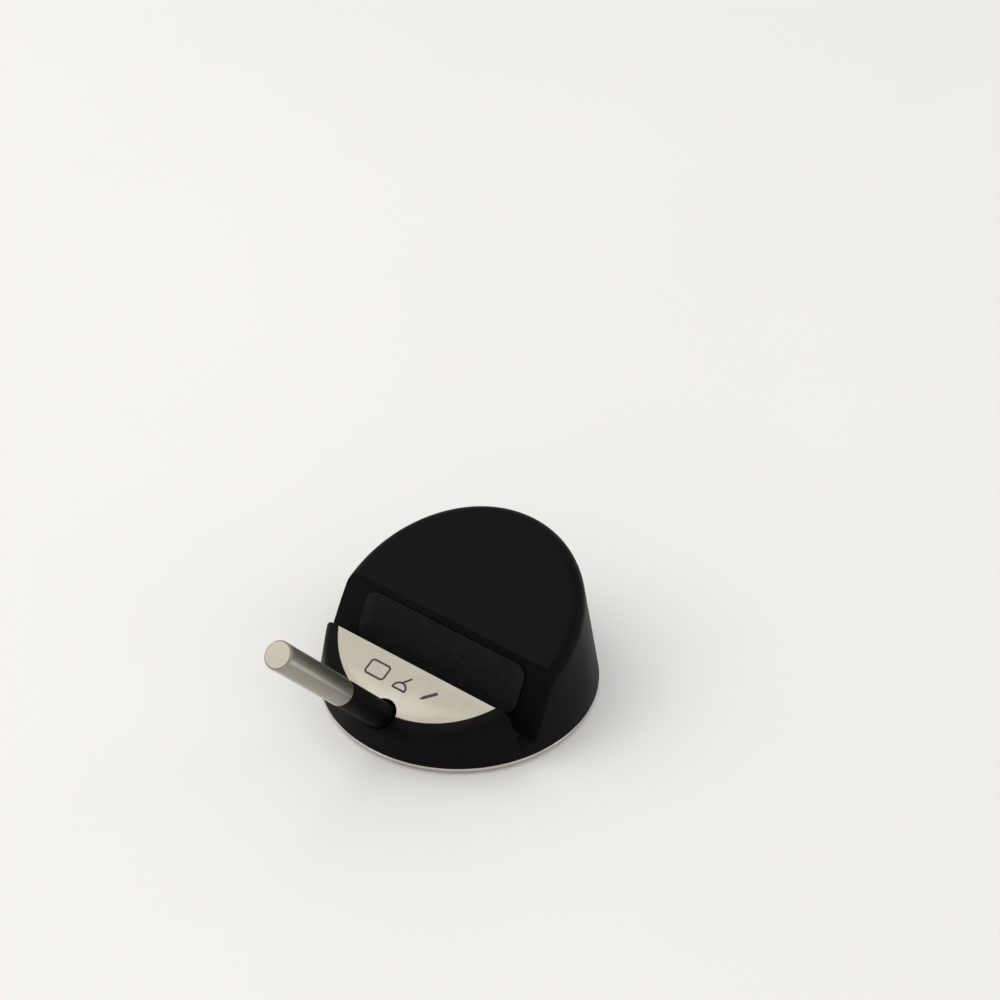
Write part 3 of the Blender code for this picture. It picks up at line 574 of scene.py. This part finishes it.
def build_plate_mark():
    """Three small printed pictograms: a tablet, a stand and a pen."""
    shape = bmesh.new()
    half_x, half_y = MARK_HEIGHT * 0.72, MARK_HEIGHT / 2.0
    tablet = rounded_rectangle(half_x, half_y, MARK_HEIGHT / 5.0, 8, -MARK_PITCH)
    ribbon(shape, tablet, MARK_STROKE, closed=True)
    ribbon(shape, arc((0.0, -half_y), half_y * 0.95, 0.0, math.pi, 24), MARK_STROKE)
    ribbon(shape, [(-half_y, -half_y), (half_y, -half_y)], MARK_STROKE)
    ribbon(shape, [(-half_y * 0.1, -half_y * 0.1), (half_y * 0.8, half_y)], MARK_STROKE)
    pen = Matrix.Translation((MARK_PITCH, 0.0, 0.0)) @ Matrix.Rotation(math.radians(-45.0), 4, "Z")
    pen_side, pen_top, pen_shoulder = MARK_STROKE * 0.8, half_y * 1.2, -half_y * 0.7
    outline = [(-pen_side, pen_shoulder), (-pen_side, pen_top), (pen_side, pen_top),
               (pen_side, pen_shoulder), (0.0, -half_y * 1.25)]
    shape.faces.new([shape.verts.new(pen @ Vector((x, y, 0.0))) for x, y in outline])
    for face in shape.faces:
        face.normal_update()
        if face.normal.z < 0.0:
            face.normal_flip()
    mesh = bpy.data.meshes.new("plate_mark")
    shape.to_mesh(mesh)
    shape.free()
    mark = new_object("plate_mark", mesh)
    mark.matrix_world = SLOPE_FRAME @ Matrix.Translation((0.0, -MARK_DOWN_SLOPE, MARK_LIFT))
    ink = mark.modifiers.new("Ink", "SOLIDIFY")
    ink.thickness = MARK_INK
    ink.offset = 1.0
    mesh.materials.append(printed_ink())
    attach(mark, "stand")


# ---------------------------------------------------------------- slot pads

def build_slot_pads():
    silicone = soft_silicone()
    floor_low, floor_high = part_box("slot_floor_pad")
    rest_low, rest_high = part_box("backrest_pad")
    thickness = floor_high.z - floor_low.z
    floor_size = (floor_high.x - floor_low.x, floor_high.y - floor_low.y)
    rest_height = (rest_high.z - rest_low.z - thickness * math.sin(REST_LEAN)) / math.cos(REST_LEAN)
    rest_size = (rest_high.x - rest_low.x, rest_height)
    rest_turn = Matrix.Rotation(math.pi / 2.0 - REST_LEAN, 4, "X")
    for name, node, size, matrix, ribs in (
            ("slot_cushion", "slot_floor_pad", floor_size,
             Matrix.Translation((floor_low + floor_high) / 2.0), 3),
            ("backrest_cushion", "backrest_pad", rest_size,
             Matrix.Translation((rest_low + rest_high) / 2.0) @ rest_turn, 12)):
        mesh = ribbed_pad(node + "_fine", size, thickness, ribs)
        mesh.transform(matrix)
        pad = new_object(name, mesh)
        pad.data.materials.append(silicone)
        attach(pad, "stand")
        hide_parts(node)


def ribbed_pad(name, size, thickness, ribs):
    """Strip with rounded corners and fine ribs along its length, moulded into its face."""
    corner = size[1] / 4.0
    outline = rounded_rectangle(size[0] / 2.0, size[1] / 2.0, corner, 10)
    holder = new_object(name, extruded_mesh(name, outline, thickness))
    pitch = size[1] / (ribs + 0.5)
    groove = new_object(name + "_groove", bpy.data.meshes.new(name + "_groove"))
    shape = bmesh.new()
    for row in range(ribs):
        centre = (row - (ribs - 1) / 2.0) * pitch
        groove_size = (size[0] - 2.0 * corner, pitch * RIB_GROOVE_SHARE, 2.0 * RIB_DEPTH, 1.0)
        bmesh.ops.create_cube(shape, size=1.0, matrix=Matrix.Translation((0.0, centre, thickness / 2.0))
                              @ Matrix.Diagonal(groove_size))
    shape.to_mesh(groove.data)
    shape.free()
    boolean(holder, groove)
    mesh = applied(holder, groove)
    round_edges(mesh, RIB_EDGE, FLAT_SHARP_ANGLE, 2)
    smooth(mesh, CUT_SMOOTH_DEGREES)
    return mesh


# ---------------------------------------------------------------- base

def build_base():
    low, high = BASE_LOW.z, BASE_HIGH.z
    profile = rounded_profile(
        [(0.0, high), (BASE_RADIUS - BASE_BEVEL, high), (BASE_RADIUS, high - BASE_BEVEL),
         (BASE_RADIUS, low + BASE_BEVEL), (BASE_RADIUS - BASE_BEVEL, low), (0.0, low)],
        (0.0, BASE_EDGE, BASE_EDGE, BASE_EDGE, BASE_EDGE, 0.0), steps=4)
    base = new_object("base_disc", turned_mesh("base_disc", profile, BASE_SEGMENTS))
    weighted_normals(base)
    base.data.materials.append(turned_steel())
    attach(base, "stand")
    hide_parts("base_plate")

    radius = FOOT_HIGH.x
    top = FOOT_HIGH.z
    bulge = 0.3 * FOOT_BEVEL
    profile = [(0.0, top), (radius, top), (radius, FOOT_BEVEL), (radius - bulge, bulge),
               (radius - FOOT_BEVEL, 0.0)]
    pitch = radius / (FOOT_RINGS + 1.0)
    for ring in range(FOOT_RINGS, 0, -1):
        middle = ring * pitch
        profile += [(middle + FOOT_GROOVE_HALF, 0.0), (middle + FOOT_GROOVE_FLOOR_HALF, FOOT_GROOVE_DEPTH),
                    (middle - FOOT_GROOVE_FLOOR_HALF, FOOT_GROOVE_DEPTH), (middle - FOOT_GROOVE_HALF, 0.0)]
    profile.append((0.0, 0.0))
    foot = new_object("grip_foot", turned_mesh("grip_foot", profile, FOOT_SEGMENTS))
    foot.data.materials.append(foot_rubber())
    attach(foot, "stand")
    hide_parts("anti_slip_pad")


# ---------------------------------------------------------------- stylus

def place_on_stylus(name, profile, material, node):
    mesh = turned_mesh(name, profile)
    mesh.transform(Matrix.Translation(STYLUS_PLACE) @ STYLUS_TURN)
    piece = new_object(name, mesh)
    weighted_normals(piece)
    mesh.materials.append(material)
    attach(piece, "stylus")
    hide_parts(node)


def build_stylus():
    alloy = drawn_alloy()
    bore = STYLUS_RADIUS - BARREL_WALL
    cap_bottom = STYLUS_REACH - CAP_THICKNESS
    barrel_top, barrel_bottom = cap_bottom - PEN_SEAM, GRIP_REACH + PEN_SEAM
    barrel = rounded_profile(
        [(bore, barrel_top), (STYLUS_RADIUS, barrel_top), (STYLUS_RADIUS, barrel_bottom),
         (bore, barrel_bottom)],
        (0.0, PEN_EDGE, PEN_EDGE, 0.0))
    place_on_stylus("pen_barrel", barrel, alloy, "stylus_barrel")

    plug = bore - PLUG_CLEARANCE
    plug_bottom = cap_bottom - CAP_PLUG_LENGTH
    cap = rounded_profile(
        [(0.0, STYLUS_REACH), (STYLUS_RADIUS - CAP_BEVEL, STYLUS_REACH),
         (STYLUS_RADIUS, STYLUS_REACH - CAP_BEVEL), (STYLUS_RADIUS, cap_bottom), (plug, cap_bottom),
         (plug, plug_bottom), (0.0, plug_bottom)],
        (0.0, CAP_EDGE, CAP_EDGE, CAP_RIM_EDGE, 0.0, PLUG_EDGE, 0.0))
    place_on_stylus("pen_end_cap", cap, alloy, "stylus_end_cap")

    grip_top, grip_bottom = GRIP_REACH - PEN_SEAM, GRIP_TAPER_TOP - GRIP_TAPER
    grip_radius = STYLUS_RADIUS - GRIP_INSET
    grip = rounded_profile(
        [(GRIP_BORE, grip_top), (grip_radius, grip_top), (grip_radius, GRIP_TAPER_TOP),
         (TIP_RADIUS, grip_bottom), (GRIP_BORE, grip_bottom)],
        (0.0, GRIP_EDGE, GRIP_SHOULDER, GRIP_END_EDGE, 0.0), steps=8)
    place_on_stylus("pen_grip", grip, soft_touch_black(), "stylus_grip")


# ---------------------------------------------------------------- materials

class Nodes:
    """Short way to add and link shader nodes in one material."""

    def __init__(self, name):
        self.material = bpy.data.materials.new(name)
        self.material.use_nodes = True
        self.tree = self.material.node_tree
        self.shader = self.tree.nodes["Principled BSDF"]

    def add(self, kind, **settings):
        node = self.tree.nodes.new(kind)
        for key, value in settings.items():
            if key in node.inputs:
                node.inputs[key].default_value = value
            else:
                setattr(node, key, value)
        return node

    def link(self, source, target):
        self.tree.links.new(source, target)

    def place(self, stretch=(1.0, 1.0, 1.0), on_pen=False):
        """Object coordinates in metres, stretched by a scale. On the pen, Z runs along it."""
        coordinates = self.add("ShaderNodeTexCoord")
        mapping = self.add("ShaderNodeMapping")
        self.link(coordinates.outputs["Object"], mapping.inputs["Vector"])
        if on_pen:
            mapping.vector_type = "TEXTURE"
            mapping.inputs["Location"].default_value = STYLUS_PLACE
            mapping.inputs["Rotation"].default_value = (STYLUS_LEAN, 0.0, 0.0)
            stretch = [1.0 / factor for factor in stretch]
        mapping.inputs["Scale"].default_value = stretch
        return mapping.outputs["Vector"]

    def noise(self, scale, detail=3.0, roughness=0.55, stretch=(1.0, 1.0, 1.0), on_pen=False):
        noise = self.add("ShaderNodeTexNoise")
        noise.inputs["Scale"].default_value = scale
        noise.inputs["Detail"].default_value = detail
        noise.inputs["Roughness"].default_value = roughness
        self.link(self.place(stretch, on_pen), noise.inputs["Vector"])
        return noise.outputs["Fac"]

    def spread(self, value, low, high, from_low=0.3, from_high=0.7):
        """Value carried from one range to another."""
        ranged = self.add("ShaderNodeMapRange")
        ranged.inputs["From Min"].default_value = from_low
        ranged.inputs["From Max"].default_value = from_high
        ranged.inputs["To Min"].default_value = low
        ranged.inputs["To Max"].default_value = high
        self.link(value, ranged.inputs["Value"])
        return ranged.outputs["Result"]

    def mix(self, factor, first, second):
        mix = self.add("ShaderNodeMix", data_type="RGBA")
        for socket, colour in ((mix.inputs[6], first), (mix.inputs[7], second)):
            if isinstance(colour, tuple):
                socket.default_value = (*colour, 1.0)
            else:
                self.link(colour, socket)
        self.link(factor, mix.inputs[0])
        return mix.outputs[2]

    def bump(self, height, distance, strength=1.0, below=None):
        bump = self.add("ShaderNodeBump")
        bump.inputs["Strength"].default_value = strength
        bump.inputs["Distance"].default_value = distance
        self.link(height, bump.inputs["Height"])
        if below is not None:
            self.link(below, bump.inputs["Normal"])
        return bump.outputs["Normal"]

    def edges(self, low=0.52, high=0.6):
        """Rises along outer edges."""
        geometry = self.add("ShaderNodeNewGeometry")
        return self.spread(geometry.outputs["Pointiness"], 0.0, 1.0, low, high)

    def finish(self, colour, roughness, normal=None, metallic=0.0, **constants):
        if isinstance(colour, tuple):
            self.shader.inputs["Base Color"].default_value = (*colour, 1.0)
        else:
            self.link(colour, self.shader.inputs["Base Color"])
        self.link(roughness, self.shader.inputs["Roughness"])
        if normal is not None:
            self.link(normal, self.shader.inputs["Normal"])
        self.shader.inputs["Metallic"].default_value = metallic
        for key, value in constants.items():
            self.shader.inputs[key.replace("_", " ")].default_value = value
        return self.material


def floor_material():
    nodes = Nodes("studio_paper")
    tone = nodes.mix(nodes.spread(nodes.noise(3.0), 0.0, 1.0), (0.855, 0.850, 0.840), (0.875, 0.870, 0.860))
    roughness = nodes.spread(nodes.noise(40.0), 0.7, 0.8)
    return nodes.finish(tone, roughness)


def moulded_black():
    """Matte black moulding with a fine spark-eroded grain."""
    nodes = Nodes("moulded_black")
    grain = nodes.noise(3400.0, detail=3.0, roughness=0.65)
    flow = nodes.noise(700.0, detail=2.0)
    smears = nodes.noise(45.0, detail=4.0)
    tone = nodes.mix(nodes.spread(smears, 0.0, 1.0), (0.0028, 0.0024, 0.0024), (0.0040, 0.0034, 0.0033))
    # a lighter colour mixed in along the outer edges, by their pointiness
    edge_lightened = nodes.mix(nodes.edges(), tone, (0.010, 0.009, 0.0087))
    roughness = nodes.spread(smears, 0.40, 0.52)
    normal = nodes.bump(flow, 0.00002, 0.7)
    normal = nodes.bump(grain, 0.00005, 0.9, below=normal)
    return nodes.finish(edge_lightened, roughness, normal, Specular_IOR_Level=0.055)


def blasted_alloy():
    """Fine bead-blasted aluminium with a clear anodised skin."""
    nodes = Nodes("blasted_alloy")
    beads = nodes.noise(4200.0, detail=3.0, roughness=0.7)
    cloud = nodes.noise(160.0, detail=3.0)
    tone = nodes.mix(nodes.spread(cloud, 0.0, 1.0), (0.330, 0.310, 0.263), (0.355, 0.333, 0.283))
    tone = nodes.mix(nodes.spread(beads, 0.0, 0.35), tone, (0.275, 0.258, 0.219))
    # a lighter colour mixed in along the outer edges, by their pointiness
    edge_lightened = nodes.mix(nodes.edges(), tone, (0.52, 0.50, 0.44))
    roughness = nodes.spread(cloud, 0.40, 0.48)
    normal = nodes.bump(beads, 0.00002, 0.7)
    return nodes.finish(edge_lightened, roughness, normal, metallic=1.0)


def drawn_alloy():
    """Satin anodised tube: very fine lines along the pen, and a soft bead-blasted end."""
    nodes = Nodes("drawn_alloy")
    lines = nodes.noise(2600.0, detail=3.0, stretch=(1.0, 1.0, 0.02), on_pen=True)
    beads = nodes.noise(4200.0, detail=2.0)
    cloud = nodes.noise(120.0, detail=3.0)
    tone = nodes.mix(nodes.spread(cloud, 0.0, 1.0), (0.298, 0.280, 0.237), (0.326, 0.307, 0.260))
    # a lighter colour mixed in along the outer edges, by their pointiness
    edge_lightened = nodes.mix(nodes.edges(), tone, (0.52, 0.50, 0.45))
    roughness = nodes.spread(lines, 0.30, 0.42)
    normal = nodes.bump(lines, 0.000006, 0.5)
    normal = nodes.bump(beads, 0.00001, 0.5, below=normal)
    return nodes.finish(edge_lightened, roughness, normal, metallic=1.0)


def turned_steel():
    """Disc turned on a lathe: concentric lines round the base."""
    nodes = Nodes("turned_steel")
    split = nodes.add("ShaderNodeSeparateXYZ")
    nodes.link(nodes.place(), split.inputs["Vector"])
    flat = nodes.add("ShaderNodeCombineXYZ")
    nodes.link(split.outputs["X"], flat.inputs["X"])
    nodes.link(split.outputs["Y"], flat.inputs["Y"])
    length = nodes.add("ShaderNodeVectorMath", operation="LENGTH")
    nodes.link(flat.outputs["Vector"], length.inputs[0])
    rings = nodes.add("ShaderNodeCombineXYZ")
    nodes.link(length.outputs["Value"], rings.inputs["X"])
    nodes.link(split.outputs["Z"], rings.inputs["Y"])
    lines = nodes.add("ShaderNodeTexNoise")
    lines.inputs["Scale"].default_value = 9000.0
    lines.inputs["Detail"].default_value = 2.0
    nodes.link(rings.outputs["Vector"], lines.inputs["Vector"])
    cloud = nodes.noise(70.0)
    tone = nodes.mix(nodes.spread(cloud, 0.0, 1.0), (0.62, 0.595, 0.55), (0.70, 0.675, 0.63))
    # a lighter colour mixed in along the outer edges, by their pointiness
    edge_lightened = nodes.mix(nodes.edges(), tone, (0.85, 0.83, 0.79))
    roughness = nodes.spread(lines.outputs["Fac"], 0.20, 0.34)
    normal = nodes.bump(lines.outputs["Fac"], 0.000006, 0.6)
    return nodes.finish(edge_lightened, roughness, normal, metallic=1.0)


def soft_touch_black():
    """Soft-touch coated grip."""
    nodes = Nodes("soft_touch_black")
    grain = nodes.noise(6500.0, detail=2.0)
    hand = nodes.noise(160.0, detail=4.0)
    tone = nodes.mix(nodes.spread(hand, 0.0, 1.0), (0.0026, 0.0022, 0.0020), (0.0038, 0.0033, 0.0030))
    roughness = nodes.spread(hand, 0.52, 0.66)
    normal = nodes.bump(grain, 0.00002, 0.7)
    return nodes.finish(tone, roughness, normal, Specular_IOR_Level=0.05)


def soft_silicone():
    nodes = Nodes("soft_silicone")
    grain = nodes.noise(3800.0, detail=2.0)
    dust = nodes.noise(260.0, detail=5.0)
    dusty = nodes.spread(dust, 0.0, 1.0, 0.45, 0.75)
    tone = nodes.mix(dusty, (0.0065, 0.0062, 0.0062), (0.012, 0.0115, 0.011))
    roughness = nodes.spread(dust, 0.7, 0.85)
    normal = nodes.bump(grain, 0.00002, 0.6)
    return nodes.finish(tone, roughness, normal, Specular_IOR_Level=0.16)


def foot_rubber():
    nodes = Nodes("ringed_foot_rubber")
    grain = nodes.noise(3000.0, detail=3.0)
    dust = nodes.noise(120.0, detail=5.0)
    tone = nodes.mix(nodes.spread(dust, 0.0, 1.0, 0.45, 0.8), (0.010, 0.010, 0.010), (0.03, 0.029, 0.027))
    roughness = nodes.spread(dust, 0.78, 0.92)
    normal = nodes.bump(grain, 0.00004, 0.7)
    return nodes.finish(tone, roughness, normal, Specular_IOR_Level=0.3)


def printed_ink():
    nodes = Nodes("printed_ink")
    specks = nodes.noise(3000.0, detail=2.0)
    tone = nodes.mix(nodes.spread(specks, 0.0, 1.0), (0.012, 0.011, 0.011), (0.022, 0.020, 0.019))
    roughness = nodes.spread(specks, 0.45, 0.6)
    return nodes.finish(tone, roughness, nodes.bump(specks, 0.000004, 0.5))


def cast_iron():
    nodes = Nodes("sand_cast_iron")
    sand = nodes.noise(1300.0, detail=4.0, roughness=0.7)
    rust = nodes.noise(110.0, detail=5.0)
    tone = nodes.mix(nodes.spread(rust, 0.0, 1.0, 0.55, 0.75), (0.075, 0.075, 0.08), (0.11, 0.075, 0.05))
    roughness = nodes.spread(rust, 0.6, 0.85)
    return nodes.finish(tone, roughness, nodes.bump(sand, 0.00012, 0.8), metallic=0.85)


def plated_steel():
    nodes = Nodes("plated_steel")
    lines = nodes.noise(2400.0, detail=3.0)
    cloud = nodes.noise(400.0)
    tone = nodes.mix(nodes.spread(cloud, 0.0, 1.0), (0.50, 0.50, 0.51), (0.60, 0.60, 0.59))
    roughness = nodes.spread(lines, 0.28, 0.42)
    return nodes.finish(tone, roughness, nodes.bump(lines, 0.00001, 0.5), metallic=1.0)


def turned_brass():
    nodes = Nodes("turned_brass")
    lines = nodes.noise(2400.0, detail=3.0, stretch=(0.05, 0.05, 1.0))
    cloud = nodes.noise(300.0)
    tone = nodes.mix(nodes.spread(cloud, 0.0, 1.0), (0.68, 0.48, 0.18), (0.76, 0.57, 0.25))
    roughness = nodes.spread(lines, 0.26, 0.40)
    return nodes.finish(tone, roughness, nodes.bump(lines, 0.00001, 0.5), metallic=1.0)


def transfer_film():
    nodes = Nodes("transfer_film")
    cloud = nodes.noise(500.0)
    tone = nodes.mix(nodes.spread(cloud, 0.0, 1.0), (0.030, 0.029, 0.027), (0.055, 0.053, 0.048))
    roughness = nodes.spread(cloud, 0.42, 0.6)
    return nodes.finish(tone, roughness, nodes.bump(cloud, 0.00003, 0.5), Specular_IOR_Level=0.2)


def nib_rubber():
    nodes = Nodes("pen_nib_rubber")
    grain = nodes.noise(4000.0, detail=2.0)
    wear = nodes.noise(700.0, detail=3.0)
    tone = nodes.mix(nodes.spread(wear, 0.0, 1.0), (0.016, 0.016, 0.016), (0.028, 0.027, 0.026))
    roughness = nodes.spread(wear, 0.48, 0.66)
    return nodes.finish(tone, roughness, nodes.bump(grain, 0.00001, 0.5))


def finish_inner_nodes():
    """The pieces that keep their CAD shape get their materials by the record's slots."""
    finishes = {"cast_iron": cast_iron(), "zinc_steel": plated_steel(), "brass": turned_brass(),
                "clear_film": transfer_film(), "nib_rubber": nib_rubber()}
    for part in frame["record"]["subparts"]:
        finish = finishes.get(part["material_slot"])
        if finish is None:
            continue
        for slot in frame["nodes"][part["node"]].material_slots:
            slot.material = finish


build_studio()
build_body()
build_face_plate()
build_plate_mark()
build_slot_pads()
build_base()
build_stylus()
finish_inner_nodes()
